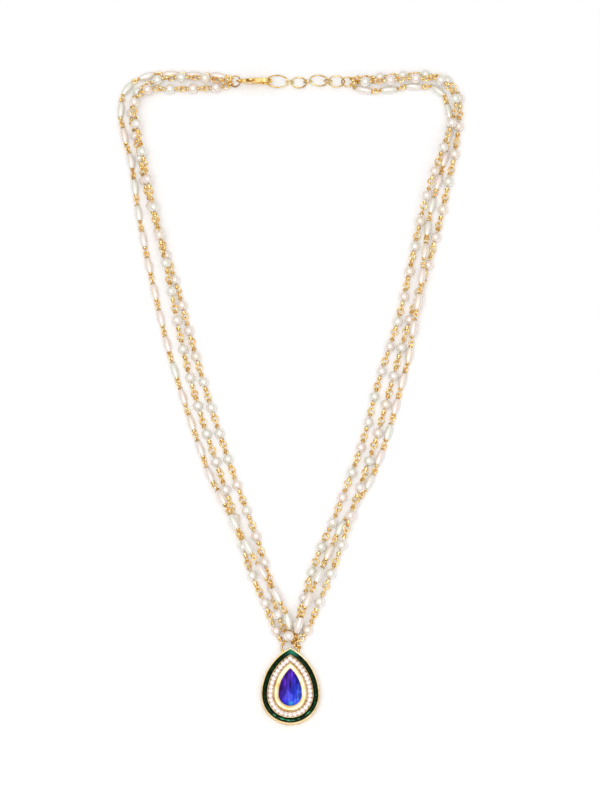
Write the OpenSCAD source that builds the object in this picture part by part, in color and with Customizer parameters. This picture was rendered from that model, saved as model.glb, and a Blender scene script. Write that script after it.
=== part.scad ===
/* [Strands] */
// Diameter of a round pearl
pearl_d = 4; // [3.9:0.02:4.04]
// Length of a rice pearl
rice_l = 6.3; // [5.6:0.1:6.4]
// Widest diameter of a rice pearl
rice_d = 3; // [2.8:0.02:3.04]
// Diameter of a rice pearl at its drilled ends
rice_end_d = 1.5; // [1.4:0.05:1.8]
// Diameter of the drilled hole in every pearl
bore_d = 1.1; // [1:0.05:1.3]
// Diameter of the gold link wire
wire_d = 0.7; // [0.5:0.05:0.7]
// Sides of the link wire
wire_sides = 8; // [6:1:8]
// Radius of the eye that closes the end of a strand, on the wire's centre
eye_r = 0.95; // [0.9:0.01:1]

/* [Pendant] */
// Half of the pendant's width, from its middle line to the outside
pendant_r = 11.2; // [10.8:0.1:11.4]
// Tip length of the pendant above its widest line
pendant_tip = 18.2; // [17.8:0.1:18.6]
// Thickness of the back plate
plate_t = 2.2; // [2.1:0.05:2.3]
// Height of the gold rim
rim_h = 4; // [3.8:0.1:4.4]
// Width of the gold rim
rim_w = 0.8; // [0.7:0.05:0.9]
// Width of the enamel band
enamel_w = 1.55; // [1.4:0.05:1.6]
// Width of the gold ridge between the enamel and the small stones
ridge_w = 0.3; // [0.25:0.05:0.35]
// Half of the width over the bezel of the main stone
bezel_r = 6.5; // [6.3:0.05:6.6]
// Height of the bezel
bezel_h = 5.2; // [4.8:0.1:5.4]
// Half of the width of the main stone
gem_r = 4.72; // [4.5:0.02:4.76]
// Height of the main stone's table
gem_h = 6; // [5.8:0.1:6.4]
// Number of small stones around the bezel
halo_count = 34; // [30:2:34]
// Width of a small stone along the row
halo_d = 1.6; // [1.5:0.02:1.62]
// Width of a small stone across the row
halo_across = 1.84; // [1.6:0.02:1.86]

/* [Clasp and chain] */
// Radius of the jump ring that carries the pendant, on the wire's centre
jump_r = 3.3; // [3.2:0.05:3.4]
// Diameter of the jump ring's wire
jump_wire = 0.8; // [0.7:0.05:0.85]
// Length of the lobster clasp
clasp_l = 14.5; // [14.4:0.05:14.6]
// Width of the lobster clasp
clasp_w = 6.2; // [6:0.1:6.3]
// Thickness of the lobster clasp
clasp_t = 2.5; // [2.4:0.05:2.6]
// How far the clasp leans forward from standing on its edge, in degrees
clasp_lean = 10; // [6:1:12]
// Diameter of the extension chain's ring wire
chain_wire = 0.7; // [0.64:0.02:0.72]

/* [Hidden] */

gold = [0.93, 0.72, 0.32];
pearl_white = [0.95, 0.94, 0.92];
round_fn = 48;
wire_fn = 24;
joint_gap = 0.05;

// Height of the clasp row, and the middle of the pendant's widest line
clasp_y = 127;
pendant_y = -121.3;

// A ring is [centre, axis towards angle 0, axis towards angle 90, radius]
CENTRE = 0;
TOWARDS_0 = 1;
TOWARDS_90 = 2;
RADIUS = 3;
jump_tilt = 7.8;
loop_y = pendant_y + 15.2;
loop_z = 1.15;
jump = [[0, loop_y + jump_r * cos(jump_tilt), loop_z + jump_r * sin(jump_tilt)],
        [0, cos(jump_tilt), sin(jump_tilt)], [1, 0, 0], jump_r];

clasp_x = -21.9;
clasp_z = clasp_w / 2 * cos(clasp_lean) + clasp_t / 2 * sin(clasp_lean);
clasp_eye_u = 1.6;
clasp_ring_r = 2.1;
clasp_ring_tilt = 22;
clasp_up = [0, -sin(clasp_lean), cos(clasp_lean)];
clasp_through = [0, cos(clasp_lean), sin(clasp_lean)];
clasp_ring_out = -cos(clasp_ring_tilt) * [1, 0, 0] - sin(clasp_ring_tilt) * clasp_up;
clasp_ring_at = [[clasp_x + clasp_eye_u, clasp_y, clasp_z] + clasp_ring_r * clasp_ring_out,
                 clasp_ring_out, clasp_through, clasp_ring_r];

end_ring_r = 2.2;
end_ring_tilt = 58;
end_ring_at = [[22.7, clasp_y, end_ring_r * sin(end_ring_tilt) + 0.4], [1, 0, 0],
               [0, cos(end_ring_tilt), sin(end_ring_tilt)], end_ring_r];

function ring_point(ring, angle, r) =
  ring[CENTRE] + r * (cos(angle) * ring[TOWARDS_0] + sin(angle) * ring[TOWARDS_90]);
function ring_normal(ring) =
  let(n = cross(ring[TOWARDS_0], ring[TOWARDS_90])) n[2] < 0 ? -n : n;

// Routes of the six half strands: x, y and height of hand-laid points, from the clasp to the bail
long_left = [
  [-30, 124.6, 2], [-40, 124.2, 2], [-50, 124, 2], [-56, 123.6, 3], [-60.4, 121.4, 5.1],
  [-62.4, 117, 6.3], [-61.6, 109, 6.2], [-57.8, 90, 6], [-52.5, 65, 5.3], [-47.5, 41.5, 4.8],
  [-43.2, 20, 2.8],
  [-36.8, -5, 2], [-28.5, -31, 2], [-21, -53, 2], [-16.2, -71, 2], [-9.5, -86.5, 2],
  [-5.9, -95.5, 2]];
long_right = [
  [28.6, 128.7, 2.1], [38, 129.2, 2.1], [47, 130, 2], [56, 130, 2], [63.4, 127.2, 2], [67.4, 120.5, 2],
  [67.2, 110, 2], [65.5, 97.5, 2], [63.2, 87, 2], [60, 72, 2], [53.4, 47, 2], [46.8, 28, 2],
  [40.6, 6, 2], [33.3, -20.5, 2.1], [28.6, -35, 2.9], [25.6, -44.5, 5.4], [22.2, -54.5, 4.7],
  [19.2, -64.5, 2.2], [14.6, -76.5, 2], [10.4, -87, 2], [6.9, -95.5, 2]];
short_left = [
  [-34.4, 127.8, 4.4], [-44, 128, 4.7], [-51, 127.6, 4.4], [-57, 126, 2.7], [-61.2, 123, 2],
  [-63.6, 118, 2], [-63.2, 110, 2], [-60.5, 97, 2], [-58.4, 86, 2], [-52.3, 64, 2],
  [-45.2, 42.5, 2], [-37.4, 14, 2], [-30, -11, 2], [-21.2, -37.5, 2], [-12.8, -60.5, 2],
  [-7.6, -78, 2.1], [-5.2, -88, 2.6], [-4.2, -94.5, 5.8], [-1.2, -98.6, 6.3]];
short_right = [
  [33, 126.2, 5.3], [46, 127, 5.3], [56, 127.4, 5.6], [62.4, 124.8, 6.1], [65.6, 118.6, 6.1],
  [64.6, 110, 5.8], [61.6, 101, 5.2], [57.6, 90, 4.6], [53.6, 77.5, 4.2], [50.7, 66, 2.3], [47.8, 52, 2.05],
  [42.2, 27.5, 2], [34.2, 2, 2], [28, -22, 2], [17.3, -51, 2], [11.4, -64.5, 2], [8, -74, 2],
  [5, -84, 2], [2.9, -92, 2]];
rice_left = [
  [-29.5, 129.8, 1.6], [-40, 130.3, 1.6], [-50, 130.6, 1.5], [-57.4, 129.8, 1.5], [-62.4, 127.4, 1.5],
  [-66.4, 123, 1.5], [-68, 116, 1.5], [-66.6, 105, 1.5], [-63.6, 93, 1.5], [-59.8, 68.5, 1.5], [-54, 41, 1.5],
  [-47.7, 15, 1.5], [-40.3, -9, 1.5], [-31, -36, 2], [-26.2, -45.5, 4.7], [-21.5, -55, 5.6],
  [-15.4, -66, 5.4], [-8.5, -78, 5.2], [-4, -85.5, 5.6], [-1, -92.5, 4.8]];
rice_right = [
  [29.8, 123.8, 1.5], [40, 124, 1.5], [50, 125.4, 1.5], [57.6, 124.4, 1.5], [62, 119.6, 1.5],
  [63.4, 112, 1.5], [63.1, 106, 1.5], [61.7, 97, 1.5], [59.3, 87, 1.5], [56.5, 77, 1.5], [54.4, 66, 2.2],
  [53, 55.5, 4.9], [51.6, 44.5, 5.8], [50, 34, 5.5], [48.2, 24, 4.2], [46.4, 13, 1.9],
  [43.8, 3, 1.65], [37.4, -20, 1.5], [30.5, -38, 1.5], [24.4, -48, 1.5], [18.8, -57, 1.65],
  [14.5, -66.5, 2], [10.6, -76, 4.8], [6.5, -85.5, 5.6], [3.6, -93.5, 6.4]];

// A half strand is [route, angle on the clasp's ring, angle on the jump ring, side from which
// it reaches the jump ring (1 from outside, -1 from inside), first pearl, pitch, pearls, rice,
// close pitch near the clasp, number of close pitches]
ROUTE = 0;
CLASP_ANGLE = 1;
JUMP_ANGLE = 2;
JUMP_SIDE = 3;
FIRST = 4;
PITCH = 5;
COUNT = 6;
RICE = 7;
CLOSE = 8;
CLOSE_COUNT = 9;
long_left_strand = [long_left, -40, -62, 1, 6.1, 11.8, 24, false, 9.2, 5];
long_right_strand = [long_right, 40, 50, 1, 12.1, 11.9, 24, false, 9.2, 4];
short_left_strand = [short_left, 0, 88, -1, 10, 10.83, 26, false, 9.6, 7];
short_right_strand = [short_right, 0, 10, 1, 5.2, 10.6, 26, false, 10.2, 5];
rice_left_strand = [rice_left, 40, -25, 1, 5.7, 11.08, 26, true, 9.5, 5];
rice_right_strand = [rice_right, -40, 30, 1, 5.2, 10.69, 26, true, 10.08, 9];

// Smooth curve through the points of a route
curve_steps = 10;
function spline(a, b, c, d, t) =
  0.5 * (2 * b + (c - a) * t + (2 * a - 5 * b + 4 * c - d) * t * t
         + (3 * b - a - 3 * c + d) * t * t * t);
function curve(p) =
  let(last = len(p) - 1)
  concat([for (i = [0:last - 1]) for (k = [0:curve_steps - 1])
            spline(p[max(i - 1, 0)], p[i], p[i + 1], p[min(i + 2, last)], k / curve_steps)],
         [p[last]]);
function distances(c) =
  [for (i = 0, s = 0; i < len(c); s = s + (i + 1 < len(c) ? norm(c[i + 1] - c[i]) : 0), i = i + 1) s];
function span_at(s, d, i = 0) = i >= len(s) - 2 || s[i + 1] >= d ? i : span_at(s, d, i + 1);
function point_at(c, s, d) =
  let(i = span_at(s, d), f = (d - s[i]) / (s[i + 1] - s[i])) c[i] + f * (c[i + 1] - c[i]);
function unit(v) = v / norm(v);
function level(v) = unit([v[0], v[1], 0]);

// The eye at a strand's end goes over a ring's wire, round it and three quarters back
function eye_centre(ring, angle) = ring_point(ring, angle, ring[RADIUS]);
function eye_out(ring, angle, side) =
  side * (cos(angle) * ring[TOWARDS_0] + sin(angle) * ring[TOWARDS_90]);
function eye_points(ring, angle, side) =
  let(w = eye_centre(ring, angle), o = eye_out(ring, angle, side), n = ring_normal(ring),
      across = unit(cross(n, o)))
  [for (a = [90:45:360]) [w + eye_r * (cos(a) * o + sin(a) * n), across]];
function backwards(list) = [for (i = [len(list) - 1:-1:0]) list[i]];

// Whole route of a half strand, from the top of one eye to the top of the other
function clasp_side(strand) = strand[ROUTE][0][0] < 0 ? clasp_ring_at : end_ring_at;
function first_eye(strand) = eye_points(clasp_side(strand), clasp_angle(strand), 1);
function clasp_angle(strand) = strand[CLASP_ANGLE];
function last_eye(strand) = eye_points(jump, strand[JUMP_ANGLE], strand[JUMP_SIDE]);
function strand_curve(strand) =
  curve(concat([first_eye(strand)[0][0]], strand[ROUTE], [last_eye(strand)[0][0]]));

// Places of the pearls on a half strand: [centre, direction]
reach = 2.2;
function pearl_distance(strand, i) =
  let(n = min(i, strand[CLOSE_COUNT]))
  strand[FIRST] + strand[CLOSE] * n + strand[PITCH] * (i - n);
function pearl_places(strand) =
  let(c = strand_curve(strand), s = distances(c))
  [for (i = [0:strand[COUNT] - 1])
     let(d = pearl_distance(strand, i))
     [point_at(c, s, d), unit(point_at(c, s, d + reach) - point_at(c, s, d - reach))]];

// The wire is straight through every pearl; each of its rings has a centre and a level side
round_half = pearl_d / 2 + 0.3;
rice_half = rice_l / 2 + 0.25;
function wire_path(strand) =
  let(places = pearl_places(strand), half = strand[RICE] ? rice_half : round_half)
  concat(backwards(first_eye(strand)),
         [for (p = places) for (e = [-1, 1])
            [p[0] + e * half * p[1], cross([0, 0, 1], level(p[1]))]],
         last_eye(strand));
function facing(side, path, i) =
  let(way = unit(path[min(i + 1, len(path) - 1)][0] - path[max(i - 1, 0)][0]))
  let(flat = side - (side * way) * way) unit(flat);
function same_way(a, b) = a * b < 0 ? -1 : 1;
function wire_ring(path, i, sign) =
  let(way = unit(path[min(i + 1, len(path) - 1)][0] - path[max(i - 1, 0)][0]),
      side = sign * facing(path[i][1], path, i), up = cross(way, side))
  [for (k = [0:wire_sides - 1])
     let(a = 360 * k / wire_sides) path[i][0] + wire_d / 2 * (cos(a) * side + sin(a) * up)];
function signs(path) =
  [for (i = 0, g = 1; i < len(path);
        g = i + 1 < len(path) ? g * same_way(path[i][1], path[i + 1][1]) : g, i = i + 1) g];

module swept_wire(path) {
  n = wire_sides;
  last = len(path) - 1;
  sign = signs(path);
  points = [for (i = [0:last]) for (p = wire_ring(path, i, sign[i])) p];
  sides = [for (i = [0:last - 1]) for (k = [0:n - 1])
             let(a = i * n + k, b = i * n + (k + 1) % n)
             each [[a, a + n, b + n], [a, b + n, b]]];
  caps = [[for (k = [0:n - 1]) k], [for (k = [n - 1:-1:0]) last * n + k]];
  polyhedron(points = points, faces = concat(caps, sides), convexity = 10);
}

// Turn a shape's Z axis along a direction and put it at a point
module placed(centre, way) {
  translate(centre)
    rotate([0, acos(way[2]), atan2(way[1], way[0])])
      children();
}

module round_pearl() {
  difference() {
    sphere(d = pearl_d, $fn = round_fn);
    cylinder(d = bore_d, h = 2 * pearl_d, center = true, $fn = wire_fn);
  }
}

// Radius of the arc that swells a rice pearl from its drilled ends to its waist
rice_swell = (rice_d - rice_end_d) / 2;
rice_arc = (pow(rice_l / 2, 2) + pow(rice_swell, 2)) / (2 * rice_swell);
rice_steps = 12;
function rice_r(z) = rice_d / 2 - rice_arc + sqrt(pow(rice_arc, 2) - pow(z, 2));
module rice_pearl() {
  difference() {
    rotate_extrude($fn = round_fn)
      polygon(concat([[0, -rice_l / 2]],
                     [for (k = [0:rice_steps]) let(z = (k / rice_steps - 0.5) * rice_l) [rice_r(z), z]],
                     [[0, rice_l / 2]]));
    cylinder(d = bore_d, h = 2 * rice_l, center = true, $fn = wire_fn);
  }
}

module pearl_string(strand) {
  color(pearl_white)
    for (p = pearl_places(strand))
      placed(p[0], p[1])
        if (strand[RICE]) rice_pearl(); else round_pearl();
}

module strand_wire(strand) {
  color(gold)
    swept_wire(wire_path(strand));
}

// A pear outline: a half circle of radius r below, and two arcs that meet in a tip above.
// All the pears of the pendant share flank_c, so each is the next one moved inwards evenly
flank_c = (pow(pendant_tip, 2) - pow(pendant_r, 2)) / (2 * pendant_r);
function pear_tip(r) = sqrt(pow(r + flank_c, 2) - pow(flank_c, 2));
module pear(r) {
  intersection() {
    circle(r = r, $fn = 96);
    translate([-r - 1, -r - 1])
      square([2 * r + 2, r + 1]);
  }
  intersection() {
    translate([-flank_c, 0])
      circle(r = r + flank_c, $fn = 192);
    translate([flank_c, 0])
      circle(r = r + flank_c, $fn = 192);
    translate([-r - 1, 0])
      square([2 * r + 2, pear_tip(r) + 1]);
  }
}
module pear_slab(r, low, high) {
  translate([0, 0, low])
    linear_extrude(high - low)
      pear(r);
}

// Point and inward direction at distance d along a pear of radius r, from its bottom, leftwards
function flank_angle(r) = acos(flank_c / (r + flank_c));
function pear_length(r) = PI * r + 2 * (r + flank_c) * flank_angle(r) * PI / 180;
function pear_point(r, d) =
  let(total = pear_length(r), half = d > total / 2, e = half ? total - d : d, bottom = PI * r / 2,
      p = e < bottom
          ? let(a = e / r * 180 / PI) [-r * sin(a), -r * cos(a), 180 - a]
          : let(a = (e - bottom) / (r + flank_c) * 180 / PI)
            [flank_c - (r + flank_c) * cos(a), (r + flank_c) * sin(a), 90 - a])
  half ? [-p[0], p[1], -p[2]] : p;

enamel_r = pendant_r - rim_w;
halo_out_r = enamel_r - enamel_w - ridge_w;
halo_r = (halo_out_r + bezel_r) / 2;
halo_bed = 2.9;
halo_girdle = 3.5;
fit_gap = 0.04;

// Heights and insets of the steps that round the top of the bezel
bezel_steps = [[0, 3.8], [0.2, 4.4], [0.45, 4.8], [0.8, bezel_h]];

module pendant_frame() {
  notch_y = 12.4;
  notch_z = 2;
  color(gold)
    translate([0, pendant_y, 0]) {
      difference() {
        union() {
          difference() {
            pear_slab(pendant_r, 0, rim_h);
            pear_slab(enamel_r, plate_t, rim_h + 1);
          }
          difference() {
            pear_slab(halo_out_r + ridge_w, plate_t - 0.1, rim_h);
            pear_slab(halo_out_r, halo_bed, rim_h + 1);
          }
          for (step = bezel_steps)
            pear_slab(bezel_r - step[0], halo_bed - 0.1, step[1]);
        }
        pear_slab(gem_r + fit_gap, plate_t - 0.4, bezel_h + 1);
        translate([-pendant_r, notch_y, -1])
          cube([2 * pendant_r, pendant_tip, notch_z + 1]);
      }
      // Loop soldered under the tip, in which the jump ring hangs
      translate([0, loop_y - pendant_y, loop_z])
        rotate([0, 90, 0])
          rotate_extrude($fn = round_fn)
            translate([0.82, 0])
              circle(r = 0.3, $fn = wire_fn);
    }
}

module enamel_ring() {
  color([0.03, 0.22, 0.14])
    translate([0, pendant_y, 0])
      difference() {
        pear_slab(enamel_r - fit_gap, plate_t + fit_gap, rim_h - 0.15);
        pear_slab(halo_out_r + ridge_w + fit_gap, plate_t - 1, rim_h + 1);
      }
}

// A cut stone: rings of points from the table down, then the culet. Each ring row is
// [share of the outline's size, height]
module faceted(outlines, culet) {
  n = len(outlines[0]);
  rings = len(outlines);
  last = n * rings;
  top = [[for (k = [n - 1:-1:0]) k]];
  walls = [for (j = [0:rings - 2]) for (k = [0:n - 1])
             let(a = j * n + k, b = j * n + (k + 1) % n)
             each [[a, b, b + n], [a, b + n, a + n]]];
  pavilion = [for (k = [0:n - 1])
                [(rings - 1) * n + k, (rings - 1) * n + (k + 1) % n, last]];
  polyhedron(points = concat([for (o = outlines) each o], [culet]),
             faces = concat(top, walls, pavilion), convexity = 4);
}

module halo_stone() {
  rows = [[0.56, 0.42], [1, 0.06], [1, -0.06]];
  faceted([for (row = rows)
             [for (k = [0:7])
                [row[0] * halo_d / 2 * cos(45 * k + 22.5), row[0] * halo_across / 2 * sin(45 * k + 22.5),
                 row[1]]]],
          [0, 0, -0.52]);
}

module halo_stones() {
  total = pear_length(halo_r);
  color([0.96, 0.94, 0.95])
    translate([0, pendant_y, halo_girdle])
      for (i = [0:halo_count - 1])
        let(p = pear_point(halo_r, i * total / halo_count))
          translate([p[0], p[1], 0])
            rotate([0, 0, p[2]])
              halo_stone();
}

// The main stone: insets and heights of its table, crown, girdle and pavilion
gem_sides = 24;
gem_rows = [[2.3, gem_h], [1.1, 5.55], [0, 4.7], [0, 4.4], [1.5, 3.1]];
function gem_outline(inset, z) =
  let(r = gem_r - inset, total = pear_length(r))
  [for (k = [0:gem_sides - 1])
     let(p = pear_point(r, (gem_sides - k) % gem_sides * total / gem_sides)) [p[0], p[1], z]];

module main_stone() {
  color([0.16, 0.15, 0.75])
    translate([0, pendant_y, 0])
      faceted([for (row = gem_rows) gem_outline(row[0], row[1])], [0, 1.2, plate_t]);
}

// A ring of round wire in the plane of the given ring
module wire_ring_at(ring, wire) {
  n = ring_normal(ring);
  placed(ring[CENTRE], n)
    rotate_extrude($fn = 2 * round_fn)
      translate([ring[RADIUS], 0])
        circle(d = wire, $fn = wire_fn);
}

module jump_ring() {
  color(gold)
    wire_ring_at(jump, jump_wire);
}

module clasp_ring() {
  color(gold)
    wire_ring_at(clasp_ring_at, chain_wire);
}

module end_ring() {
  color(gold)
    wire_ring_at(end_ring_at, chain_wire);
}

// An oval link of round wire: length and width over the wire, lying along X
module oval_link(length, width) {
  r = (width - chain_wire) / 2;
  run = length - width;
  for (end = [-1, 1])
    translate([end * run / 2, 0, 0])
      rotate([0, 0, -90 * end])
        rotate_extrude(angle = 180, $fn = 2 * round_fn)
          translate([r, 0])
            circle(d = chain_wire, $fn = wire_fn);
  for (side = [-1, 1])
    translate([-run / 2, side * r, 0])
      rotate([0, 90, 0])
        cylinder(d = chain_wire, h = run, $fn = wire_fn);
}

// The four chain rings: middle x, y and z, length, width, turn about X and slope about Y
RING_X = 0;
RING_Y = 1;
RING_Z = 2;
RING_LENGTH = 3;
RING_WIDTH = 4;
RING_ROLL = 5;
RING_SLOPE = 6;
chain_rings = [
  [-5.4, 127, 2.75, 9.1, 5.4, 10, 6.5],
  [3.19, 127, 1.4, 6.6, 5, 0, 0],
  [11.23, 127.7, 1.85, 8, 5, 0, 7.1],
  [18.3, 127.2, 2.2, 6.9, 5.2, 0, 1.8]];
module chain_ring(row) {
  color(gold)
    translate([row[RING_X], row[RING_Y], row[RING_Z]])
      rotate([row[RING_ROLL], row[RING_SLOPE], 0])
        oval_link(row[RING_LENGTH], row[RING_WIDTH]);
}

// Small upright rings join the chain rings: middle x, y and turn about Z
joiner_r = 1.6;
joiner_wire = 0.5;
chain_joiners = [[-0.48, 127, 0], [6.86, 127.35, 5], [15.02, 127.45, -4]];
module chain_joiner(row) {
  color(gold)
    translate([row[0], row[1], joiner_r + joiner_wire / 2])
      rotate([90, 0, row[2]])
        rotate_extrude($fn = 2 * round_fn)
          translate([joiner_r, 0])
            circle(d = joiner_wire, $fn = wire_fn);
}

// The clasp lies in its own plane: u along its length, v across it, w through its thickness
bow_r = clasp_w / 2;
bow_u = clasp_l - bow_r;
bow_wall = 1.1;
neck_u = 3.2;
neck_half = 1.3;
pivot_u = 5.2;
pivot_r = 0.4;
lever_t = 1;
slot_half = 0.65;
slot_u0 = 3.7;
slot_u1 = 7.4;
// The mouth ends in an arc about the lever's pivot, so that the arm swings past the nose
mouth_r = 6.2;
module lever_sweep(r) {
  translate([pivot_u, 0])
    circle(r = r, $fn = 96);
}

module in_clasp_plane() {
  translate([clasp_x, clasp_y, clasp_z])
    rotate([90 + clasp_lean, 0, 0])
      children();
}

// Two circles joined by straight flanks that touch both
module teardrop(u0, r0, u1, r1) {
  a = acos((r0 - r1) / (u1 - u0));
  translate([u0, 0])
    circle(r = r0, $fn = 64);
  translate([u1, 0])
    circle(r = r1, $fn = 96);
  polygon([[u0 + r0 * cos(a), r0 * sin(a)], [u1 + r1 * cos(a), r1 * sin(a)],
           [u1 + r1 * cos(a), -r1 * sin(a)], [u0 + r0 * cos(a), -r0 * sin(a)]]);
}

module clasp_outline() {
  teardrop(neck_u, neck_half, bow_u, bow_r);
}

module clasp_hollow() {
  teardrop(pivot_u + 1.6, 0.75, bow_u, bow_r - bow_wall);
}

module clasp_body() {
  eye_out_r = 1.6;
  eye_hole_r = 0.85;
  eye_t = 1.6;
  color(gold)
    in_clasp_plane() {
      difference() {
        union() {
          linear_extrude(clasp_t, center = true)
            difference() {
              clasp_outline();
              clasp_hollow();
            }
          translate([clasp_eye_u, 0, 0])
            cylinder(r = eye_out_r, h = eye_t, center = true, $fn = round_fn);
        }
        translate([clasp_eye_u, 0, 0])
          cylinder(r = eye_hole_r, h = 2 * clasp_t, center = true, $fn = wire_fn);
        translate([slot_u0, -clasp_w, -slot_half])
          cube([slot_u1 - slot_u0, 2 * clasp_w, 2 * slot_half]);
        linear_extrude(2 * clasp_t, center = true)
          intersection() {
            translate([slot_u1 - 0.1, -clasp_w])
              square([mouth_r, clasp_w]);
            lever_sweep(mouth_r);
          }
      }
      translate([pivot_u, 0, 0])
        cylinder(r = pivot_r, h = clasp_t - 0.2, center = true, $fn = wire_fn);
    }
}

module clasp_lever() {
  arm_gap = 0.15;
  root_r = 1.25;
  tab_top = 4;
  color(gold)
    in_clasp_plane()
      difference() {
        union() {
          translate([pivot_u, 0, 0])
            cylinder(r = root_r, h = lever_t, center = true, $fn = round_fn);
          // Thumb tab, out through the slot of the spine
          linear_extrude(lever_t, center = true)
            polygon([[pivot_u - 0.6, 0.8], [pivot_u + 0.2, tab_top], [pivot_u + 1.2, tab_top],
                     [pivot_u + 1.2, 0.2]]);
          // Thin root of the arm between the cheeks, then the arm in full thickness
          linear_extrude(lever_t, center = true)
            intersection() {
              clasp_outline();
              translate([pivot_u, -clasp_w])
                square([3, clasp_w - 0.4]);
            }
          linear_extrude(clasp_t - 0.3, center = true)
            difference() {
              intersection() {
                clasp_outline();
                translate([slot_u1 + arm_gap, -clasp_w])
                  square([mouth_r, clasp_w - 1]);
                lever_sweep(mouth_r - arm_gap);
              }
              clasp_hollow();
            }
        }
        translate([pivot_u, 0, 0])
          cylinder(r = pivot_r + joint_gap, h = 2 * clasp_t, center = true, $fn = wire_fn);
      }
}

pearl_string(long_left_strand);  // long_pearls_left
pearl_string(long_right_strand);  // long_pearls_right
pearl_string(short_left_strand);  // short_pearls_left
pearl_string(short_right_strand);  // short_pearls_right
pearl_string(rice_left_strand);  // rice_pearls_left
pearl_string(rice_right_strand);  // rice_pearls_right
strand_wire(long_left_strand);  // long_wire_left
strand_wire(long_right_strand);  // long_wire_right
strand_wire(short_left_strand);  // short_wire_left
strand_wire(short_right_strand);  // short_wire_right
strand_wire(rice_left_strand);  // rice_wire_left
strand_wire(rice_right_strand);  // rice_wire_right
pendant_frame();
enamel_ring();
halo_stones();
main_stone();
jump_ring();
clasp_body();
clasp_lever();
clasp_ring();
end_ring();
chain_ring(chain_rings[0]);  // chain_ring_1
chain_ring(chain_rings[1]);  // chain_ring_2
chain_ring(chain_rings[2]);  // chain_ring_3
chain_ring(chain_rings[3]);  // chain_ring_4
chain_joiner(chain_joiners[0]);  // chain_joiner_1
chain_joiner(chain_joiners[1]);  // chain_joiner_2
chain_joiner(chain_joiners[2]);  // chain_joiner_3
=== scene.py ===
"""A kundan pendant necklace: three strands of lacquered pearls on gold link wire, a lobster clasp with an
extension chain, and a pear-shaped pendant in green enamel, laid out on a pale table."""

import logging
import math
from collections.abc import Callable, Sequence
from dataclasses import dataclass, field
from enum import Enum

import bmesh
import bpy
import numpy as np
from mathutils import Matrix, Vector


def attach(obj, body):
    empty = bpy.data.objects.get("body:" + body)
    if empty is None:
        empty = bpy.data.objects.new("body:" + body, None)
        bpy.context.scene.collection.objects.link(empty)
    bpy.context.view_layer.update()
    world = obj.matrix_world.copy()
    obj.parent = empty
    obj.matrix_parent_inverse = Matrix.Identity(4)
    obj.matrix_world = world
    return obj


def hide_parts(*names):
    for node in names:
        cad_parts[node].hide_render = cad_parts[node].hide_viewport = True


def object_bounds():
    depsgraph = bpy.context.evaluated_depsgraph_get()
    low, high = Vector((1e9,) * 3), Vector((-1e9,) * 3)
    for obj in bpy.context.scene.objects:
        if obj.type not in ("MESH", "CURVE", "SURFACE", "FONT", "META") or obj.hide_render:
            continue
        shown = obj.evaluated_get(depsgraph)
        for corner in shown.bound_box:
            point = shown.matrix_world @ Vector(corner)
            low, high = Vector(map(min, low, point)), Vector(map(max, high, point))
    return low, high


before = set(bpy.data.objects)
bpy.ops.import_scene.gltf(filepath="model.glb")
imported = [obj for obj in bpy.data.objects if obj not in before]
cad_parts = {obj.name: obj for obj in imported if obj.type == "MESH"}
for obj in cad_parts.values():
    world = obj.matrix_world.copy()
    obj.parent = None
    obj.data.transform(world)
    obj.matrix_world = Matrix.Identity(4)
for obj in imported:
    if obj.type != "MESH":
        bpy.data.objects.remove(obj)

LOG = logging.getLogger("necklace")

# Lowest and highest corner of the CAD part, in metres
CAD_BOX = np.array(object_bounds(), dtype=float)

# All shapes are modelled in millimetres and made metres when they are handed over
MM = 0.001
UP = np.array([0.0, 0.0, 1.0])

# Middle of the pendant's round end, for its shapes and for the patterns laid over it
PENDANT_Y = -121.3

# Factors that make fixed numbers look random, and the step from one copy's faces to the next one's
SPREAD = (12.9898, 78.233, 37.719)
STRETCH = 43758.5453
COPY_STEP = 17

# Keys that tell the draws of one bead or pair apart
TILT_KEY = 3
FLAT_KEY = 7
TONE_KEY = 5


class Body(Enum):
    """The bodies of the part that a piece can ride on."""

    NECKLACE = "necklace"
    LEVER = "lever"


class Slot(Enum):
    """The material slots of the record."""

    GOLD = "gold"
    PEARL = "pearl"
    ENAMEL = "enamel"
    CLEAR = "clear_stone"
    BLUE = "blue_stone"


# Materials


def linear(code: str) -> tuple[float, float, float, float]:
    """Turn an sRGB hex colour to linear light.

    Args:
        code: Six hex digits, with or without a leading #.

    Returns:
        Red, green, blue and an alpha of 1.
    """
    digits = code.lstrip("#")
    parts = [int(digits[k : k + 2], 16) / 255 for k in (0, 2, 4)]
    red, green, blue = [p / 12.92 if p <= 0.04045 else ((p + 0.055) / 1.055) ** 2.4 for p in parts]
    return red, green, blue, 1.0


def add_node(
    tree: bpy.types.NodeTree,
    kind: str,
    sockets: dict | None = None,
    links: dict | None = None,
    stops: Sequence[tuple[float, str]] = (),
    **settings: object,
) -> bpy.types.Node:
    """Add a shader node with its settings and links.

    Args:
        tree: Node tree that takes the node.
        kind: Blender's name of the node's type, without the ShaderNode that each starts with.
        sockets: Values for inputs, by name or number.
        links: What feeds inputs, by name or number: an output, or a node for its first output.
        stops: Place and colour of each stop, for a colour ramp.
        **settings: Attributes of the node itself.

    Returns:
        The new node.
    """
    node = tree.nodes.new("ShaderNode" + kind)
    for name, value in settings.items():
        setattr(node, name, value)
    for key, value in (sockets or {}).items():
        node.inputs[key].default_value = value
    for key, source in (links or {}).items():
        output = source.outputs[0] if isinstance(source, bpy.types.Node) else source
        tree.links.new(output, node.inputs[key])
    if stops:
        elements = node.color_ramp.elements
        while len(elements) < len(stops):
            elements.new(0.5)
        for element, (place, code) in zip(elements, stops):
            element.position = place
            element.color = linear(code)
    return node


def scale_for(size_mm: float) -> float:
    """Give a texture's scale for a pattern of a size in millimetres."""
    return 1 / (size_mm * MM)


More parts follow.
